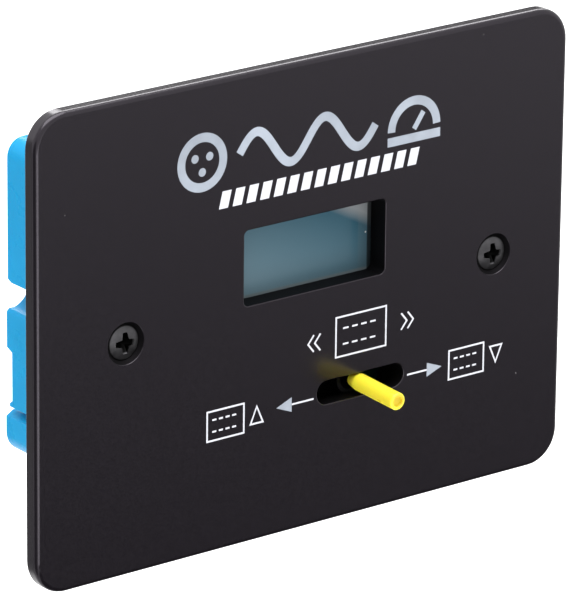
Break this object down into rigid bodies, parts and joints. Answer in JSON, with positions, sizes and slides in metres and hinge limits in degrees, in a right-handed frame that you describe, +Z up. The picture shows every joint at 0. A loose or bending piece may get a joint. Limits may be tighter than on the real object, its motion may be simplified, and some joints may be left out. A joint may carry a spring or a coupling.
{
  "type": "flush-mounted power monitor display",
  "caption": "Wall-mounted remote power display: black faceplate with a display window and a sprung toggle, on an open-backed blue wall bracket with swing clamps.",
  "frame": {"origin": "on the wall surface, midway between the two plate screws", "axes": "+X to the right along the plate, +Y into the wall, +Z up"},
  "size_m": [0.1194, 0.0412, 0.0889],
  "materials": {
    "plate_plastic": "satin moulded plastic, near black",
    "screw_black": "black coated steel",
    "bracket_plastic": "blue moulded PVC, satin",
    "clamp_steel": "zinc-plated steel",
    "board_green": "green solder mask over glass fibre",
    "bezel_black": "black painted sheet steel",
    "display_film": "clear film over a grey-green liquid crystal",
    "display_glass": "polished edges",
    "light_guide": "milky diffuser",
    "strip_rubber": "conductive elastomer",
    "resin_black": "poured resin",
    "header_black": "moulded nylon",
    "pin_gold": "gold-flashed",
    "fixing_steel": "zinc-plated steel",
    "jack_black": "moulded thermoplastic",
    "chip_black": "moulded epoxy",
    "tinned_lead": "tinned",
    "can_aluminium": "drawn",
    "sleeve_blue": "shrunk plastic sleeve",
    "crystal_can": "satin nickel",
    "resistor_black": "glazed ceramic chip",
    "capacitor_tan": "ceramic chip",
    "switch_plastic": "moulded thermoset",
    "switch_steel": "nickel-plated",
    "contact_brass": "silver-plated brass",
    "lever_chrome": "plated",
    "cap_yellow": "satin moulded plastic",
    "plunger_white": "nylon",
    "print_ink": "silver-grey screen print"
  },
  "bodies": {
    "housing": {"faceplate": "plate_plastic", "plate_screws": "screw_black", "wall_bracket": "bracket_plastic", "display_board": "board_green", "display_bezel": "bezel_black", "display_polariser": "display_film", "display_glass": "display_glass", "display_backlight": "light_guide", "zebra_strips": "strip_rubber", "display_drivers": "resin_black", "display_screws": "fixing_steel", "board_header": "header_black", "header_pins": "pin_gold", "main_board": "board_green", "main_board_screws": "fixing_steel", "cable_jack": "jack_black", "jack_contacts": "pin_gold", "controller_chip": "chip_black", "controller_leads": "tinned_lead", "voltage_regulator": "chip_black", "regulator_leads": "tinned_lead", "capacitor_can": "can_aluminium", "capacitor_sleeve": "sleeve_blue", "crystal": "crystal_can", "chip_resistors": "resistor_black", "chip_capacitors": "capacitor_tan", "switch_body": "switch_plastic", "switch_frame": "switch_steel", "switch_terminals": "contact_brass"},
    "toggle": {"toggle_lever": "lever_chrome", "lever_cap": "cap_yellow", "switch_plunger": "plunger_white"},
    "rocker": {"switch_rocker": "contact_brass"},
    "screw_left": {"clamp_screw_left": "clamp_steel"},
    "clamp_left": {"swing_clamp_left": "bracket_plastic"},
    "screw_right": {"clamp_screw_right": "clamp_steel"},
    "clamp_right": {"swing_clamp_right": "bracket_plastic"}
  },
  "joints": [
    {"name": "toggle_swing", "type": "hinge", "parent": "housing", "child": "toggle", "pos_m": [0.01094, 0.0022, -0.0185], "axis": [0, 0, 1], "range_deg": [-13, 13], "stiffness_Nm_per_rad": 0.08},
    {"name": "rocker_tilt", "type": "hinge", "parent": "housing", "child": "rocker", "pos_m": [0.01094, 0.0088, -0.0185], "axis": [0, 0, 1], "range_deg": [-6.5, 6.5]},
    {"name": "clamp_swing_left", "type": "hinge", "parent": "housing", "child": "screw_left", "pos_m": [-0.0422, 0, -0.0246], "axis": [0, 1, 0], "range_deg": [0, 90]},
    {"name": "clamp_travel_left", "type": "slide", "parent": "screw_left", "child": "clamp_left", "axis": [0, -1, 0], "range_m": [0, 0.013]},
    {"name": "clamp_swing_right", "type": "hinge", "parent": "housing", "child": "screw_right", "pos_m": [0.0422, 0, 0.0269], "axis": [0, 1, 0], "range_deg": [0, 90]},
    {"name": "clamp_travel_right", "type": "slide", "parent": "screw_right", "child": "clamp_right", "axis": [0, -1, 0], "range_m": [0, 0.013]}
  ],
  "couplings": [
    {"joint": "rocker_tilt", "follows": "toggle_swing", "ratio": -0.5}
  ]
}
